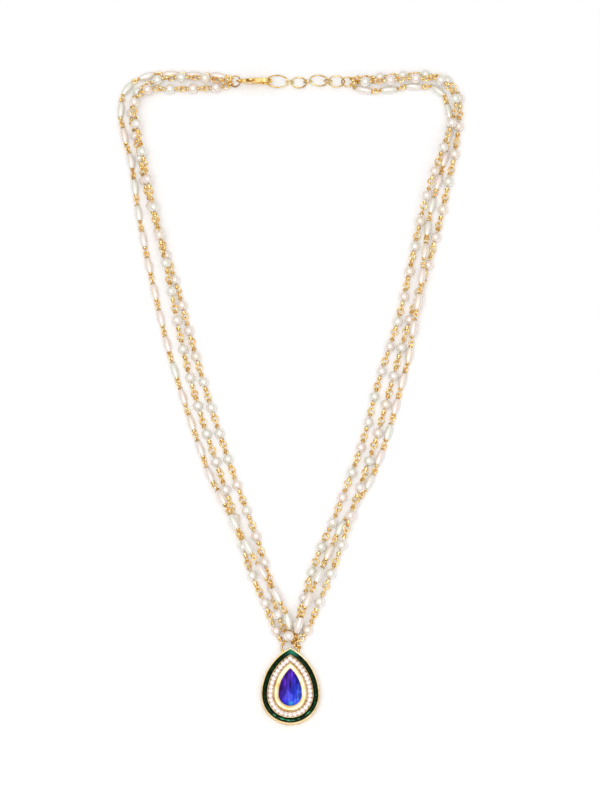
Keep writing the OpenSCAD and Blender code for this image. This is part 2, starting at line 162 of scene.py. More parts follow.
@dataclass(frozen=True)
class Finish:
    """A finish of the necklace. Each kind of finish fills in its own shader."""

    name: str

    def material(self) -> bpy.types.Material:
        """Give the finish's material, made the first time it is asked for.

        Returns:
            The material.
        """
        known = bpy.data.materials.get(self.name)
        if known:
            return known
        made = bpy.data.materials.new(self.name)
        made.use_nodes = True
        tree = made.node_tree
        tree.nodes.clear()
        values, links = self.shade(tree, add_node(tree, "TexCoord").outputs["Object"])
        shader = add_node(tree, "BsdfPrincipled", values, links)
        add_node(tree, "OutputMaterial", links={"Surface": shader})
        return made

    def shade(self, tree: bpy.types.NodeTree, place: bpy.types.NodeSocket) -> tuple[dict, dict]:
        """Build what feeds the Principled shader.

        Args:
            tree: Node tree of the material.
            place: Object coordinates, in metres.

        Returns:
            The shader's own values, and the nodes that feed its inputs.
        """
        raise NotImplementedError


@dataclass(frozen=True)
class GoldPlate(Finish):
    """Brass with a skin of gold plate, tumbled bright. The plate is yellower where it is thick and redder
    where it wears through, in patches of a few millimetres, with a fine tumbled grain. On the chain wire
    the darkest patches are painted shade and the palest ones painted light."""

    light: str = "#FFF0BE"
    middle: str = "#FFDC92"
    wear_and_shade: str = "#E8B468"
    patch_mm: float = 1.6
    grain_mm: float = 0.12
    smooth: float = 0.13
    rough: float = 0.27

    def shade(self, tree: bpy.types.NodeTree, place: bpy.types.NodeSocket) -> tuple[dict, dict]:
        """Lay patches into the gold's colour, and a grain into its roughness and relief.

        Args:
            tree: Node tree of the material.
            place: Object coordinates, in metres.

        Returns:
            The shader's own values, and the nodes that feed its inputs.
        """
        pattern = {"Scale": scale_for(self.patch_mm), "Detail": 2.0}
        patches = add_node(tree, "TexNoise", pattern, {"Vector": place})
        # The darkest stop is wear on most golds and painted shade on the chain wire; the palest is
        # painted light there
        stops = ((0.32, self.wear_and_shade), (0.5, self.middle), (0.68, self.light))
        colour = add_node(tree, "ValToRGB", links={"Fac": patches}, stops=stops)
        # A tumbled grain is some hundredths of a millimetre; it is drawn as coarse as shows
        pattern = {"Scale": scale_for(self.grain_mm), "Detail": 3.0}
        grain = add_node(tree, "TexNoise", pattern, {"Vector": place})
        span = {"From Min": 0.3, "From Max": 0.7, "To Min": self.smooth, "To Max": self.rough}
        rough = add_node(tree, "MapRange", span, {"Value": grain})
        relief = add_node(tree, "Bump", {"Strength": 0.12, "Distance": 0.02 * MM}, {"Height": grain})
        return {"Metallic": 1.0}, {"Base Color": colour, "Roughness": rough, "Normal": relief}


@dataclass(frozen=True)
class PearlLacquer(Finish):
    """Glass beads dipped in pearl essence: a white body under a lacquer of fine high-index flakes,
    so a soft bright highlight sits on it, and each bead leans a little to pink, green or cream."""

    pink: str = "#F6E7DE"
    white: str = "#F4EEE5"
    green: str = "#ECEDDF"
    cream: str = "#F6EAD6"
    cloud_mm: float = 1.8
    flake_mm: float = 0.15

    def shade(self, tree: bpy.types.NodeTree, place: bpy.types.NodeSocket) -> tuple[dict, dict]:
        """Give each bead its own tone, clouded a little, under a clear coat.

        Args:
            tree: Node tree of the material.
            place: Object coordinates, in metres.

        Returns:
            The shader's own values, and the nodes that feed its inputs.
        """
        tone = add_node(tree, "Attribute", attribute_name="tone").outputs["Fac"]
        pattern = {"Scale": scale_for(self.cloud_mm), "Detail": 2.0}
        cloud = add_node(tree, "TexNoise", pattern, {"Vector": place})
        shifted = add_node(tree, "Math", {1: 0.55}, {0: cloud}, operation="MULTIPLY")
        mixed = add_node(tree, "Math", links={0: tone, 1: shifted}, operation="ADD")
        spread = add_node(tree, "MapRange", {"From Min": 0.2, "From Max": 1.35}, {"Value": mixed})
        stops = ((0.05, self.green), (0.35, self.white), (0.65, self.pink), (0.95, self.cream))
        colour = add_node(tree, "ValToRGB", links={"Fac": spread}, stops=stops)
        # Pearl flakes are far finer; they are drawn as coarse as shows
        pattern = {"Scale": scale_for(self.flake_mm), "Detail": 2.0}
        flakes = add_node(tree, "TexNoise", pattern, {"Vector": place})
        span = {"From Min": 0.3, "From Max": 0.7, "To Min": 0.2, "To Max": 0.3}
        rough = add_node(tree, "MapRange", span, {"Value": flakes})
        coat = {"Coat Weight": 1.0, "Coat Roughness": 0.06, "Coat IOR": 1.5}
        return {"Metallic": 0.2, "IOR": 1.9, **coat}, {"Base Color": colour, "Roughness": rough}


@dataclass(frozen=True)
class GlazedEnamel(Finish):
    """Glass enamel fired into a gold channel: deep bottle green and wet-looking, with painted highlights,
    paler and bluer: one at the tip, and streaks along the bottom."""

    deep: str = "#020D03"
    green: str = "#0E3410"
    # Painted highlights: teal at the tip, green in the streaks along the bottom
    painted_tip_highlight: str = "#2FA383"
    painted_streak_highlight: str = "#4FC08A"
    fleck_mm: float = 0.9
    streak_mm: float = 2.2
    streak_r_mm: float = 9.8
    # Where the painted highlights lie: the tip, its right side, the bottom, and the line of the streaks
    tip_mm: tuple[float, float] = (14.6, 17.6)
    right_mm: tuple[float, float] = (-1.4, 1.0)
    bottom_mm: tuple[float, float] = (1.0, -9.0)
    line_mm: tuple[float, float] = (0.3, 0.08)

    def shade(self, tree: bpy.types.NodeTree, place: bpy.types.NodeSocket) -> tuple[dict, dict]:
        """Mottle the green, and paint the highlights at the tip and along the bottom.

        Args:
            tree: Node tree of the material.
            place: Object coordinates, in metres.

        Returns:
            The shader's own values, and the nodes that feed its inputs.
        """
        pattern = {"Scale": scale_for(self.fleck_mm), "Detail": 3.0}
        flecks = add_node(tree, "TexNoise", pattern, {"Vector": place})
        stops = ((0.42, self.deep), (0.7, self.green))
        colour = add_node(tree, "ValToRGB", links={"Fac": flecks}, stops=stops)
        # Patches where the painted highlight streaks show
        pattern = {"Scale": scale_for(self.streak_mm), "Detail": 1.0}
        streaks = add_node(tree, "TexNoise", pattern, {"Vector": place})
        clear = add_node(tree, "MapRange", {"From Min": 0.48, "From Max": 0.6}, {"Value": streaks})
        # The painted highlight streaks run along the band, in one narrow line near its middle
        centre = {"Location": (0.0, -PENDANT_Y * MM, 0.0), "Scale": (1.0, 1.0, 0.0)}
        centred = add_node(tree, "Mapping", centre, {"Vector": place})
        out = add_node(tree, "VectorMath", links={0: centred}, operation="LENGTH").outputs["Value"]
        off_line = add_node(tree, "Math", {1: self.streak_r_mm * MM}, {0: out}, operation="SUBTRACT")
        off_line = add_node(tree, "Math", links={0: off_line}, operation="ABSOLUTE")
        apart = add_node(tree, "SeparateXYZ", links={0: centred}).outputs
        masks = []
        for ends, source, least in (
            (self.tip_mm, apart["Y"], 0.0),
            (self.right_mm, apart["X"], 0.25),
            (self.bottom_mm, apart["Y"], 0.0),
            (self.line_mm, off_line, 0.0),
        ):
            span = {"From Min": ends[0] * MM, "From Max": ends[1] * MM, "To Min": least}
            masks.append(add_node(tree, "MapRange", span, {"Value": source}))
        tip, right, bottom, line = masks
        tip_highlight_share = add_node(tree, "Math", links={0: tip, 1: right}, operation="MULTIPLY")
        low = add_node(tree, "Math", links={0: clear, 1: bottom}, operation="MULTIPLY")
        lit = add_node(tree, "Math", links={0: low, 1: line}, operation="MULTIPLY")
        # Mix the painted highlights into the green
        for share, code in ((tip_highlight_share, self.painted_tip_highlight), (lit, self.painted_streak_highlight)):
            feeds = {"Factor": share, 6: colour}
            colour = add_node(tree, "Mix", {7: linear(code)}, feeds, data_type="RGBA").outputs[2]
        return {"Roughness": 0.06, "Specular IOR Level": 0.06}, {"Base Color": colour}


@dataclass(frozen=True)
class FoiledCrystal(Finish):
    """Clear cut glass with silver foil behind it: each facet throws back light as a small mirror would,
    and carries a painted tone of reflected light or dark besides, white with a breath of pink, and a few
    facets painted grey."""

    light: str = "#FFF4F0"
    rose: str = "#F2DAD5"
    shadow: str = "#B4968C"
    cell_mm: float = 0.55

    def shade(self, tree: bpy.types.NodeTree, place: bpy.types.NodeSocket) -> tuple[dict, dict]:
        """Give each facet its own painted tone of reflected light or dark, on a surface part mirror and
        part glass.

        Args:
            tree: Node tree of the material.
            place: Object coordinates, in metres.

        Returns:
            The shader's own values, and the nodes that feed its inputs.
        """
        # Painted reflections: a light or dark tone for each facet, broken into small cells
        tone = add_node(tree, "Attribute", attribute_name="tone").outputs["Fac"]
        cells = add_node(tree, "TexVoronoi", {"Scale": scale_for(self.cell_mm)}, {"Vector": place})
        both = add_node(tree, "Mix", {"Factor": 0.4}, {"A": tone, "B": cells}, data_type="FLOAT")
        stops = ((0.05, self.shadow), (0.18, self.rose), (0.46, self.light))
        colour = add_node(tree, "ValToRGB", links={"Fac": both}, stops=stops)
        coat = {"Coat Weight": 1.0, "Coat Roughness": 0.02}
        return {"Metallic": 0.35, "Roughness": 0.12, **coat}, {"Base Color": colour}


@dataclass(frozen=True)
class FoiledSapphireGlass(Finish):
    """Blue-violet pressed glass with foil behind it, violet on one side and blue on the other, painted
    brighter at the blue side as a highlight. Painted reflections run the length of the stone as lighter
    and darker bands, each facet carries a painted lighter or darker tone, and there is a painted dark
    heart above the middle and a bright painted glint near the round end."""

    violet: str = "#5A26BE"
    blue: str = "#3236CC"
    bright: str = "#4A6CF0"
    # Painted shade of the dark heart, and the painted glint
    dark: str = "#120848"
    glint: str = "#3CA8EC"
    slant: float = -0.55
    sides_mm: tuple[float, float] = (-5.5, 4.5)
    streak_scale: tuple[float, float, float] = (1.1, 0.16, 0.3)

    def shade(self, tree: bpy.types.NodeTree, place: bpy.types.NodeSocket) -> tuple[dict, dict]:
        """Lay the painted reflection bands over the violet to blue ground, a painted tone on each facet,
        then the painted dark heart and the painted glint.

        Args:
            tree: Node tree of the material.
            place: Object coordinates, in metres.

        Returns:
            The shader's own values, and the nodes that feed its inputs.
        """
        centre = {"Location": (0.0, -PENDANT_Y, 0.0), "Scale": (1 / MM, 1 / MM, 1 / MM)}
        centred = add_node(tree, "Mapping", centre, {"Vector": place})
        apart = add_node(tree, "SeparateXYZ", links={0: centred}).outputs
        feeds = {0: apart["Y"], 2: apart["X"]}
        across = add_node(tree, "Math", {1: self.slant}, feeds, operation="MULTIPLY_ADD")
        span = {"From Min": self.sides_mm[0], "From Max": self.sides_mm[1]}
        side = add_node(tree, "MapRange", span, {"Value": across})
        # Violet to blue, with a painted highlight of brighter blue at the far side
        stops = ((0.15, self.violet), (0.55, self.blue), (0.9, self.bright))
        ground = add_node(tree, "ValToRGB", links={"Fac": side}, stops=stops)
        # Painted reflections: lighter and darker bands along the stone's length
        stretched = add_node(tree, "Mapping", {"Scale": self.streak_scale}, {"Vector": centred})
        band_pattern = {"Scale": 1.0, "Detail": 4.0, "Distortion": 0.4}
        streaks = add_node(tree, "TexNoise", band_pattern, {"Vector": stretched})
        stops = ((0.36, "#2C2C2C"), (0.5, "#868686"), (0.66, "#EAEAEA"))
        bands = add_node(tree, "ValToRGB", links={"Fac": streaks}, stops=stops)
        streaked = add_node(
            tree, "Mix", {"Factor": 0.75}, {6: ground, 7: bands}, data_type="RGBA", blend_type="OVERLAY"
        )
        # A painted lighter or darker tone for each facet, standing in for the light that it reflects
        facet = add_node(tree, "Attribute", attribute_name="tone").outputs["Fac"]
        gain = add_node(tree, "MapRange", {"To Min": 0.55, "To Max": 1.5}, {"Value": facet})
        feeds = {0: streaked.outputs[2], 3: gain}
        colour = add_node(tree, "VectorMath", links=feeds, operation="SCALE")
        # Painted shade and highlight: the dark heart above the middle, then the glint near the round end
        for middle, size, code in (
            ((0.1, 3.6, 0.0), (1.3, 0.42, 0.0), self.dark),
            ((0.25, -3.6, 0.0), (0.75, 0.95, 0.0), self.glint),
        ):
            moved = {"Location": tuple(-m * s for m, s in zip(middle, size)), "Scale": size}
            near = add_node(tree, "Mapping", moved, {"Vector": centred})
            spot = add_node(tree, "TexGradient", links={"Vector": near}, gradient_type="SPHERICAL")
            feeds = {"Factor": spot.outputs["Fac"], 6: colour}
            colour = add_node(tree, "Mix", {7: linear(code)}, feeds, data_type="RGBA").outputs[2]
        gloss = {"Metallic": 0.08, "Roughness": 0.08, "Specular IOR Level": 0.15}
        return gloss, {"Base Color": colour}


@dataclass(frozen=True)
class TablePaper(Finish):
    """Smooth white card under the necklace, matt, with a barely seen mottle of its fibres."""

    light: str = "#FDFDFD"
    dim: str = "#FAFAFA"
    fibre_mm: float = 2.0

    def shade(self, tree: bpy.types.NodeTree, place: bpy.types.NodeSocket) -> tuple[dict, dict]:
        """Lay a faint mottle into the matt white.

        Args:
            tree: Node tree of the material.
            place: Object coordinates, in metres.

        Returns:
            The shader's own values, and the nodes that feed its inputs.
        """
        # The fibres of card are finer; the mottle is drawn as coarse as shows
        pattern = {"Scale": scale_for(self.fibre_mm), "Detail": 4.0}
        mottle = add_node(tree, "TexNoise", pattern, {"Vector": place})
        stops = ((0.35, self.dim), (0.65, self.light))
        colour = add_node(tree, "ValToRGB", links={"Fac": mottle}, stops=stops)
        return {"Roughness": 0.9, "Specular IOR Level": 0.1}, {"Base Color": colour}


# Drawn wire: bright and warm, with orange where the links rub
WIRE_GOLD = GoldPlate("gold_plated_link_wire")
# Casting: a deeper even yellow, softly lit over its rounded edges
CAST_GOLD = GoldPlate("gold_plated_casting", "#FFE7A6", "#F6D080", "#E0AA58", 3.0)
# Chain wire: the darkest gold, with painted shade and painted light: brown on one side of a ring and pale
# yellow on the other
CHAIN_GOLD = GoldPlate("gold_plated_chain_wire", "#FFF0B4", "#DDB660", "#A5772C", 4.0)
# Polished setting: a pale satin gold, so its wide faces stay creamy
PALE_GOLD = GoldPlate(
    "pale_gold_plated_setting", "#F8E3B8", "#F1D6A0", "#E2BC7C", 4.0, smooth=0.28, rough=0.38
)
PEARL = PearlLacquer("pearl_lacquer_on_glass")
ENAMEL = GlazedEnamel("fired_green_enamel")
CRYSTAL = FoiledCrystal("foil_backed_cut_crystal")
SAPPHIRE_GLASS = FoiledSapphireGlass("foil_backed_blue_glass")
CARD = TablePaper("white_card")


# Modelling by hand


def clear_selection() -> None:
    """Deselect every object."""
    bpy.ops.object.select_all(action="DESELECT")


def only(obj: bpy.types.Object) -> bpy.types.Object:
    """Select one object alone, make it the active one and give it back.

    Args:
        obj: The object.

    Returns:
        The same object.
    """
    clear_selection()
    obj.select_set(True)
    bpy.context.view_layer.objects.active = obj
    return obj


def primitive(add: Callable[..., object], **sizes: object) -> bpy.types.Object:
    """Add a primitive with nothing else selected, its place and turn applied to its mesh.

    Args:
        add: The operator that adds it.
        **sizes: The operator's own settings.

    Returns:
        The new object.
    """
    clear_selection()
    add(**sizes)
    return settle(bpy.context.object)


def editing(obj: bpy.types.Object) -> bmesh.types.BMesh:
    """Enter edit mode on an object alone and give its edit mesh.

    Args:
        obj: The object.

    Returns:
        Its edit mesh.
    """
    if bpy.context.mode != "EDIT_MESH":
        only(obj)
        bpy.ops.object.mode_set(mode="EDIT")
    bpy.ops.mesh.select_mode(type="VERT")
    return bmesh.from_edit_mesh(obj.data)


def pick_all(obj: bpy.types.Object) -> None:
    """Select the whole mesh of an object, in edit mode."""
    editing(obj)
    bpy.ops.mesh.select_all(action="SELECT")


def done(obj: bpy.types.Object, name: str) -> bpy.types.Object:
    """Leave edit mode with the faces turned outwards.

    Args:
        obj: The object being edited.
        name: Its name from here on.

    Returns:
        The same object.
    """
    pick_all(obj)
    bpy.ops.mesh.normals_make_consistent(inside=False)
    bpy.ops.object.mode_set(mode="OBJECT")
    obj.name = name
    obj.data.name = name
    return obj


def settle(obj: bpy.types.Object) -> bpy.types.Object:
    """Apply an object's place, turn and scale to its mesh.

    Args:
        obj: The object.

    Returns:
        The same object.
    """
    only(obj)
    bpy.ops.object.transform_apply(location=True, rotation=True, scale=True)
    return obj


def apply_modifiers(obj: bpy.types.Object) -> None:
    """Apply an object's modifiers in their order.

    Args:
        obj: The object.
    """
    only(obj)
    for modifier in list(obj.modifiers):
        bpy.ops.object.modifier_apply(modifier=modifier.name)


def in_metres(obj: bpy.types.Object) -> bpy.types.Object:
    """Turn a finished shape from millimetres to metres.

    Args:
        obj: The shape's object.

    Returns:
        The same object.
    """
    obj.data.transform(Matrix.Scale(MM, 4))
    obj.data.update()
    return obj


def round_off(obj: bpy.types.Object, angle: float) -> bpy.types.Object:
    """Shade smooth, and keep sharp edges.

    Args:
        obj: The object.
        angle: Edges that turn by more than this stay sharp, in degrees.

    Returns:
        The same object.
    """
    only(obj)
    bpy.ops.object.shade_smooth_by_angle(angle=math.radians(angle))
    return obj


def mesh_points(mesh: bpy.types.Mesh) -> np.ndarray:
    """Read a mesh's points.

    Args:
        mesh: The mesh.

    Returns:
        One row for each point.
    """
    flat = np.empty(3 * len(mesh.vertices))
    mesh.vertices.foreach_get("co", flat)
    return flat.reshape(-1, 3)


def whole_numbers(items: bpy.types.bpy_prop_collection, name: str) -> np.ndarray:
    """Read a whole number from each item of a mesh, such as each face's count of corners.

    Args:
        items: The mesh's faces or corners.
        name: Blender's name of the number.

    Returns:
        The numbers, in the items' order.
    """
    numbers = np.empty(len(items), dtype=np.int64)
    items.foreach_get(name, numbers)
    return numbers


def keep_in_box(piece: bpy.types.Object) -> None:
    """Bring the few points of a piece outside the CAD part's box back to its side.

    Args:
        piece: The piece, in metres.
    """
    inside = np.clip(mesh_points(piece.data), CAD_BOX[0], CAD_BOX[1])
    piece.data.vertices.foreach_set("co", inside.ravel())
    piece.data.update()


def hand_over(
    piece: bpy.types.Object, finish: Finish, slot: Slot, *nodes: str, body: Body = Body.NECKLACE
) -> None:
    """Dress a piece, hang it on its body and let it stand for its CAD nodes.

    Args:
        piece: The finished piece, in metres.
        finish: What it is made of.
        slot: The record's slot of that finish; not used.
        *nodes: CAD nodes that it replaces.
        body: The body that it moves with.
    """
    keep_in_box(piece)
    piece.data.materials.clear()
    piece.data.materials.append(finish.material())
    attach(piece, body.value)
    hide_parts(*nodes)
    LOG.info("%s: %d faces, for %s", piece.name, len(piece.data.polygons), ", ".join(nodes))


@dataclass
class Shape:
    """A modelled shape kept as arrays, so that copies of it can be laid into one mesh."""

    points: np.ndarray
    corners: np.ndarray
    sizes: np.ndarray

    @classmethod
    def take(cls, obj: bpy.types.Object) -> "Shape":
        """Read an object's mesh, then remove the object.

        Args:
            obj: The object.

        Returns:
            Its shape.
        """
        mesh = obj.data
        corners = whole_numbers(mesh.loops, "vertex_index")
        shape = cls(mesh_points(mesh), corners, whole_numbers(mesh.polygons, "loop_total"))
        bpy.data.objects.remove(obj)
        return shape


@dataclass
class Tray:
    """Copies of shapes on their way into one mesh."""

    points: list[np.ndarray] = field(default_factory=list)
    corners: list[np.ndarray] = field(default_factory=list)
    sizes: list[np.ndarray] = field(default_factory=list)
    tones: list[np.ndarray] = field(default_factory=list)
    count: int = 0

    def lay(
        self,
        shape: Shape,
        turn: np.ndarray,
        at: np.ndarray,
        stretch: Sequence[float] = (1.0, 1.0, 1.0),
        tone: float | None = 0.5,
    ) -> None:
        """Lay one copy of a shape.

        Args:
            shape: The shape to copy.
            turn: Its axes as the columns of a 3 x 3 matrix.
            at: Its place in millimetres.
            stretch: Its scale along its own axes.
            tone: A number from 0 to 1 for the copy's shade, or None for one for each face.
        """
        self.points.append((shape.points * np.array(stretch)) @ turn.T + at)
        self.corners.append(shape.corners + self.count)
        self.sizes.append(shape.sizes)
        if tone is None:
            k = np.arange(len(shape.sizes)) + COPY_STEP * len(self.sizes)
            self.tones.append(np.mod(np.sin(k * SPREAD[0]) * STRETCH, 1.0))
        else:
            self.tones.append(np.full(len(shape.sizes), tone))
        self.count += len(shape.points)

    def pour(self, name: str) -> bpy.types.Object:
        """Make the mesh of all the copies.

        Args:
            name: The new object's name.

        Returns:
            The object, in metres.
        """
        mesh = bpy.data.meshes.new(name)
        points = np.concatenate(self.points)
        corners = np.concatenate(self.corners)
        sizes = np.concatenate(self.sizes)
        mesh.vertices.add(len(points))
        mesh.loops.add(len(corners))
        mesh.polygons.add(len(sizes))
        mesh.vertices.foreach_set("co", points.ravel())
        mesh.loops.foreach_set("vertex_index", corners)
        mesh.polygons.foreach_set("loop_start", np.concatenate([[0], np.cumsum(sizes)[:-1]]))
        mesh.update(calc_edges=True)
        tones = mesh.attributes.new("tone", "FLOAT", "FACE")
        tones.data.foreach_set("value", np.concatenate(self.tones))
        obj = bpy.data.objects.new(name, mesh)
        bpy.context.scene.collection.objects.link(obj)
        return in_metres(obj)


def unit(vector: np.ndarray) -> np.ndarray:
    """Scale a vector to length 1."""
    return vector / np.linalg.norm(vector)


def heading(way: np.ndarray, roll: float = 0.0) -> np.ndarray:
    """Axes of a shape whose Z runs along a direction and whose X lies level.

    Args:
        way: The direction.
        roll: Turn about it, in degrees.

    Returns:
        The axes as the columns of a 3 x 3 matrix.
    """
    along = unit(way)
    side = unit(np.cross(UP, along))
    over = np.cross(along, side)
    cos, sin = math.cos(math.radians(roll)), math.sin(math.radians(roll))
    return np.column_stack([cos * side + sin * over, cos * over - sin * side, along])


def chance(*keys: float) -> float:
    """A fixed number from 0 to 1 that looks random, for the given keys."""
    wave = math.sin(sum(k * f for k, f in zip(keys, SPREAD)))
    return math.modf(abs(wave * STRETCH))[0]


# What the CAD nodes say


def node_corners(node: str) -> tuple[np.ndarray, np.ndarray]:
    """Read a CAD node's points, each once.

    Args:
        node: The node's name.

    Returns:
        The points in millimetres, and which of them each vertex of the node is.
    """
    spots = np.round(mesh_points(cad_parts[node].data) / MM, 4)
    points, place = np.unique(spots, axis=0, return_inverse=True)
    return points, place.ravel()


def node_solids(node: str) -> np.ndarray:
    """Find the middles of the loose solids in a CAD node.

    Args:
        node: The node's name.

    Returns:
        One row for each solid: the middle of its box, in millimetres.
    """
    points, place = node_corners(node)
    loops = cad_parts[node].data.loops
    faces = place[whole_numbers(loops, "vertex_index")].reshape(-1, 3)
    # Each point takes the lowest number that reaches it over the faces, until nothing changes
    label = np.arange(len(points))
    while True:
        fresh = label.copy()
        lowest = label[faces].min(axis=1)
        for k in range(3):
            np.minimum.at(fresh, faces[:, k], lowest)
        fresh = fresh[fresh]
        if np.array_equal(fresh, label):
            break
        label = fresh
    found = [points[label == k] for k in np.unique(label)]
    return np.array([(p.min(axis=0) + p.max(axis=0)) / 2 for p in found])


@dataclass
class WireRing:
    """A ring of wire fitted to its CAD node: its middle, axes and half sizes on the wire's line."""

    centre: np.ndarray
    long_way: np.ndarray
    short_way: np.ndarray
    normal: np.ndarray
    half_length: float
    half_width: float
    reach: float = 1.4

    @classmethod
    def fit(cls, node: str, wire: float) -> "WireRing":
        """Fit a ring to a CAD node.

        Args:
            node: The node's name.
            wire: Diameter of its wire in millimetres.

        Returns:
            The ring.
        """
        points, _ = node_corners(node)
        centre = (points.min(axis=0) + points.max(axis=0)) / 2
        away = points - centre
        _, axes = np.linalg.eigh(away.T @ away)
        normal = axes[:, 0] * (1 if axes[2, 0] >= 0 else -1)
        long_way = axes[:, 2]
        short_way = np.cross(normal, long_way)
        halves = [np.abs(away @ way).max() - wire / 2 for way in (long_way, short_way)]
        return cls(centre, long_way, short_way, normal, *halves)

    def turn(self) -> np.ndarray:
        """Give the ring's axes as the columns of a matrix."""
        return np.column_stack([self.long_way, self.short_way, self.normal])

    def hook(self, wire_points: np.ndarray) -> np.ndarray:
        """Find where a strand's wire goes round this ring.

        Args:
            wire_points: Points of the strand's wire.

        Returns:
            The place on the ring's own line, in millimetres.
        """
        away = wire_points - self.centre
        height = away @ self.normal
        flat = away - np.outer(height, self.normal)
        out = np.linalg.norm(flat, axis=1)
        near = np.hypot(out - self.half_length, height) < self.reach
        return self.centre + self.half_length * unit((flat[near] / out[near, None]).mean(axis=0))

    def along(self, place: np.ndarray) -> np.ndarray:
        """Give the direction of the ring's wire at a place on it."""
        return unit(np.cross(self.normal, place - self.centre))


# Beads and wire shapes that repeat


@dataclass
class BeadBench:
    """Models each small shape of the strands once, in millimetres, with Z along the strand."""

    pearl_r: float = 2.0
    pearl_cut_r: float = 0.62
    rice_r: float = 1.5
    rice_half: float = 3.15
    rice_pole: float = 3.64
    mouth_r: float = 0.55
    mouth_depth: float = 0.35
    least_inset: float = 0.04
    weld: float = 0.0001
    cut_slack: float = 0.01
    cut_level: float = 0.99
    wire_r: float = 0.31
    flare_r: float = 0.92

    def drilled(self, obj: bpy.types.Object, half: float, cut_r: float, name: str) -> Shape:
        """Cut both ends of a bead flat and sink a drilled mouth into each.

        Args:
            obj: The bead, with its hole along Z.
            half: Height at which its ends are cut.
            cut_r: Radius of the cut.
            name: Name for the shape.

        Returns:
            The bead.
        """
        inset = max(cut_r - self.mouth_r, self.least_inset)
        for way in (-1, 1):
            pick_all(obj)
            bpy.ops.mesh.bisect(
                plane_co=(0, 0, way * half),
                plane_no=(0, 0, way),
                use_fill=True,
                clear_outer=True,
                threshold=self.weld,
            )
            for face in editing(obj).faces:
                at_cut = abs(face.calc_center_median().z - way * half) < self.cut_slack
                face.select_set(at_cut and abs(face.normal.z) > self.cut_level)
            bmesh.update_edit_mesh(obj.data)
            bpy.ops.mesh.select_mode(type="FACE")
            bpy.ops.mesh.inset(thickness=inset, depth=0)
            sunk = (0, 0, -way * self.mouth_depth)
            bpy.ops.mesh.extrude_region_move(TRANSFORM_OT_translate={"value": sunk})
        return Shape.take(done(obj, name))

    def pearl(self) -> Shape:
        """Model a round pearl with its drilled mouths.

        Returns:
            The pearl, with its hole along Z.
        """
        add = bpy.ops.mesh.primitive_uv_sphere_add
        obj = primitive(add, segments=22, ring_count=14, radius=self.pearl_r)
        half = math.sqrt(self.pearl_r**2 - self.pearl_cut_r**2)
        return self.drilled(obj, half, self.pearl_cut_r, "round_pearl")

    def rice_pearl(self) -> Shape:
        """Model a rice pearl: a long swollen bead cut short at its drilled ends.

        Returns:
            The rice pearl, with its hole along Z.
        """
        add = bpy.ops.mesh.primitive_uv_sphere_add
        obj = primitive(add, segments=18, ring_count=16, radius=1.0)
        editing(obj)
        bpy.ops.transform.resize(value=(self.rice_r, self.rice_r, self.rice_pole))
        cut_r = self.rice_r * math.sqrt(1 - (self.rice_half / self.rice_pole) ** 2)
        return self.drilled(obj, self.rice_half, cut_r, "rice_pearl")

    def eye(self, radius: float) -> Shape:
        """Model an eye: a closed loop of wire that stands in the X-Z plane.

        Args:
            radius: Radius of the loop, on the wire's line.

        Returns:
            The eye.
        """
        obj = primitive(
            bpy.ops.mesh.primitive_torus_add,
            major_segments=14,
            minor_segments=6,
            major_radius=radius,
            minor_radius=self.wire_r,
            rotation=(math.pi / 2, 0, 0),
        )
        return Shape.take(done(obj, "eye"))

    def coil(self, turns: int, length: float, taper: float) -> Shape:
        """Model the wraps of a link: wire wound round the core, wide at the pearl.

        Args:
            turns: How many turns of wire.
            length: Length along Z, from the pearl at 0.
            taper: How much narrower the far end is, as a share.

        Returns:
            The coil, with a length of 1 so that a copy can be stretched to fit.
        """
        obj = primitive(
            bpy.ops.mesh.primitive_circle_add,
            vertices=5,
            radius=self.wire_r,
            location=(self.flare_r, 0, self.wire_r),
            rotation=(math.pi / 2, 0, 0),
        )
        wound = obj.modifiers.new("wound", "SCREW")
        wound.steps = wound.render_steps = 9
        wound.iterations = turns
        wound.screw_offset = (length - 2 * self.wire_r) / turns
        wound.use_merge_vertices = False
        narrowed = obj.modifiers.new("narrowed", "SIMPLE_DEFORM")
        narrowed.deform_method = "TAPER"
        narrowed.deform_axis = "Z"
        narrowed.factor = -taper
        apply_modifiers(obj)
        pick_all(obj)
        bpy.ops.mesh.fill_holes(sides=8)
        pick_all(obj)
        bpy.ops.transform.resize(value=(1, 1, 1 / length))
        return Shape.take(done(obj, "coil"))

    def core(self) -> Shape:
        """Model a straight length of the link wire.

        Returns:
            The wire, from Z 0 to 1.
        """
        add = bpy.ops.mesh.primitive_cylinder_add
        obj = primitive(add, vertices=6, radius=self.wire_r, depth=1.0, location=(0, 0, 0.5))
        return Shape.take(done(obj, "core"))


@dataclass
class StrandShapes:
    """The shapes that one kind of strand is laid from, and its sizes in millimetres."""

    bead: Shape
    eye: Shape
    coil: Shape
    core: Shape
    bead_half: float
    eye_r: float
    wire_r: float
    wraps: float
    slack: float = 0.04

    @property
    def eye_step(self) -> float:
        """Distance between two linked eyes."""
        return 2 * self.eye_r - 2 * self.wire_r - self.slack


